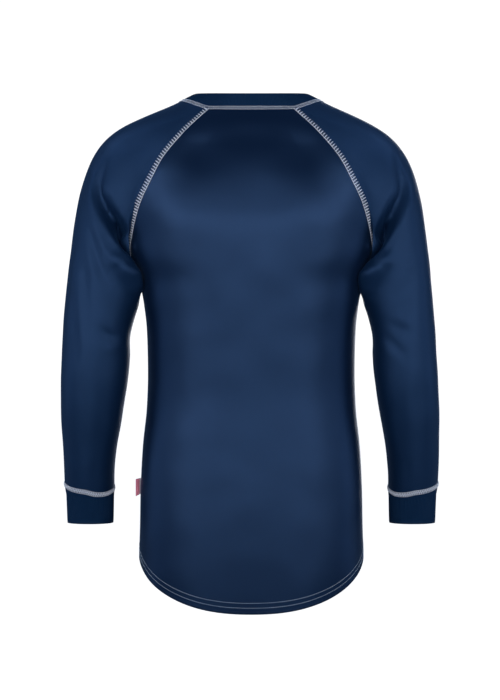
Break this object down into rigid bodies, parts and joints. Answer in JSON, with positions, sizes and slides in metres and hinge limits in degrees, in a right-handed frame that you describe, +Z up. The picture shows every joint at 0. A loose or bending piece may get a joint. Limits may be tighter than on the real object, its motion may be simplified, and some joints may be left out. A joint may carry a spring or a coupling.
{
  "type": "long-sleeved thermal top",
  "caption": "Worn-form thermal top: raglan sleeves, standing rib neckband, rib cuffs, flat pale seams, a curved hem longer at the back and a bare tab in the side seam.",
  "frame": {"origin": "midway between the two points where the neckband meets the tops of the shoulders, where the wearer carries the garment", "axes": "+X to the wearer's left, -Y to the front, +Z up"},
  "size_m": [0.6062, 0.2353, 0.8209],
  "materials": {
    "knit": "fine smooth knit with a soft sheen",
    "rib": "fine matt rib knit",
    "tab": "woven satin ribbon"
  },
  "bodies": {
    "root": {"back": "knit", "front": "knit", "sleeve_left": "knit", "sleeve_right": "knit", "neckband": "rib", "cuff_left": "rib", "cuff_right": "rib", "side_tab": "tab"}
  },
  "joints": []
}
